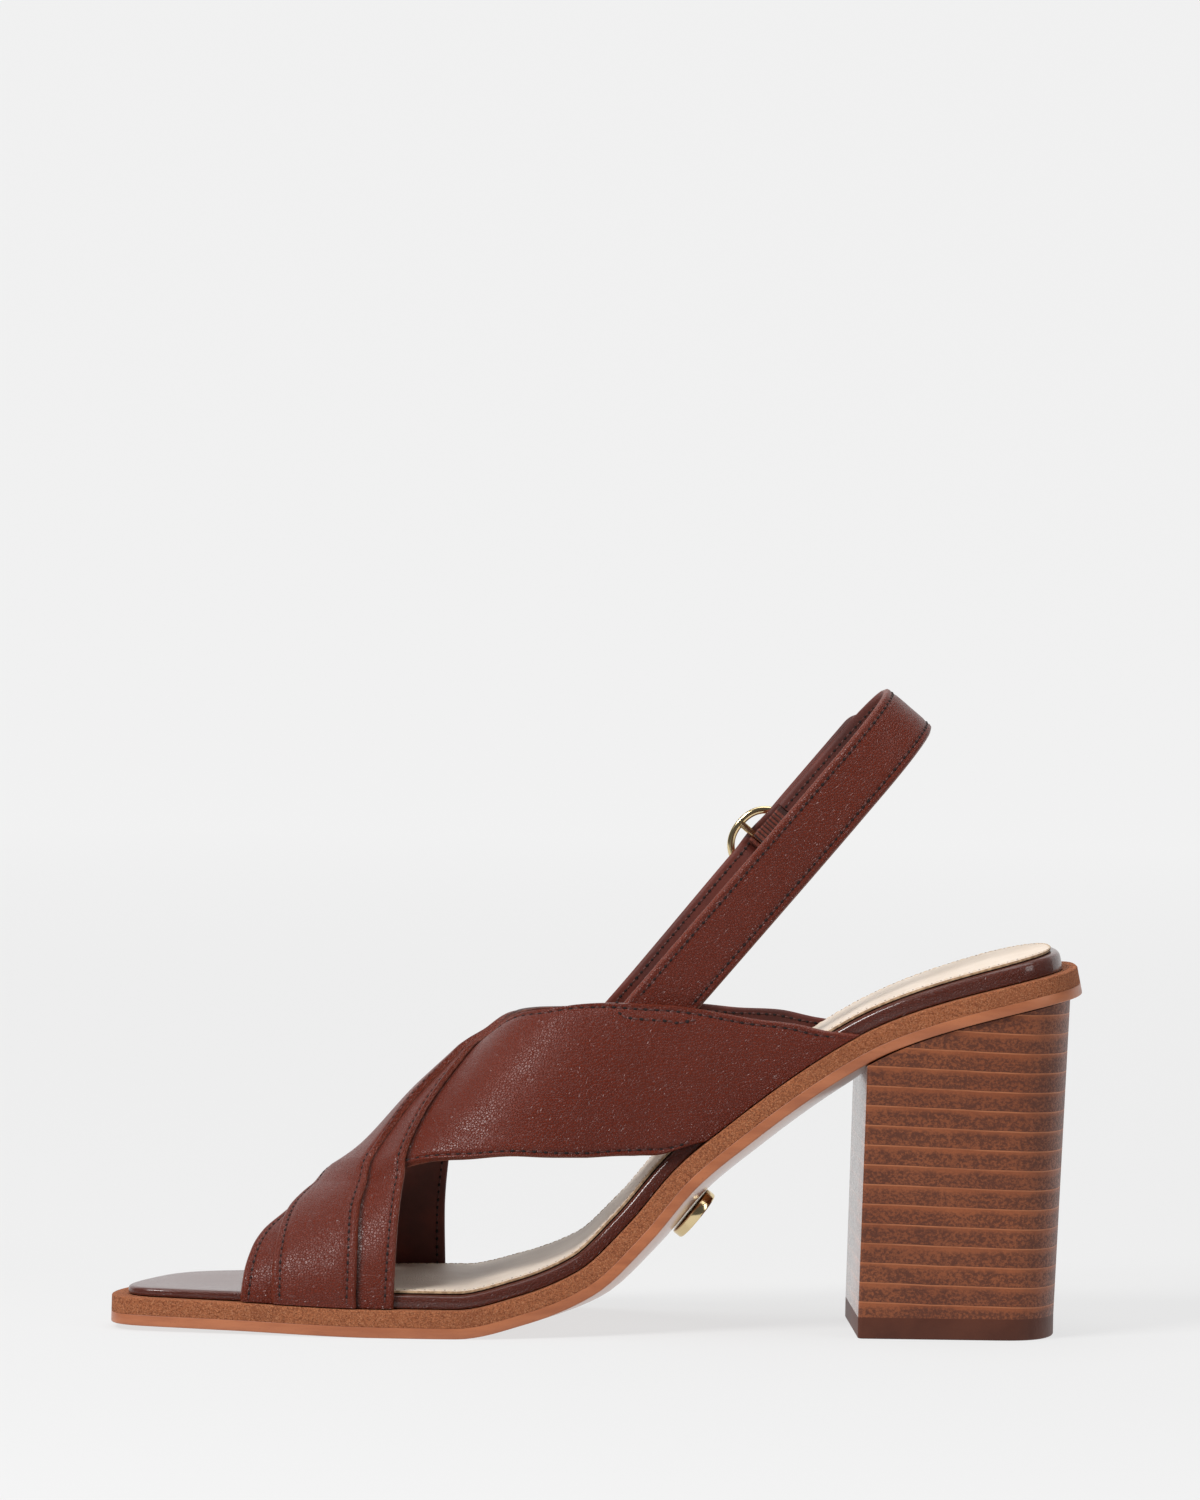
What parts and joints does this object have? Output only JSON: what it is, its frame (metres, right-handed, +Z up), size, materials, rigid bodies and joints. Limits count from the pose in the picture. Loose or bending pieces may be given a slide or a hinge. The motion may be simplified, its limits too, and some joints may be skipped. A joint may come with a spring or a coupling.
{
  "type": "mid heel sandal",
  "caption": "right foot mid heel sandal with crossed brown leather straps, buckled sling, rough edged welt and stacked block heel",
  "frame": {"origin": "bounding box bottom centre", "axes": "+X from toe to heel, +Y from the inner to the outer side of the foot, +Z up"},
  "size_m": [0.235, 0.08, 0.1568],
  "materials": {
    "strap_leather": "fine grain, soft gloss",
    "insole_leather": "smooth, semi matt",
    "smooth_edge_leather": "dyed and burnished edge",
    "rough_edge_leather": "rough cut, matt",
    "sock_leather": "smooth, matt",
    "stacked_heel": "stacked layers, waxed",
    "dark_rubber": "matt",
    "pale_gold": "polished, pale gold plating",
    "dark_elastic": "ribbed elastic webbing"
  },
  "bodies": {
    "root": {"outsole": "smooth_edge_leather", "welt": "rough_edge_leather", "insole": "insole_leather", "sock_lining": "sock_leather", "heel_block": "stacked_heel", "top_lift": "dark_rubber", "upper": "strap_leather", "sole_badge": "pale_gold", "sling_strap": "strap_leather", "buckle_strap": "strap_leather", "buckle_frame": "pale_gold", "buckle_prong": "pale_gold", "elastic_gore": "dark_elastic"}
  },
  "joints": []
}
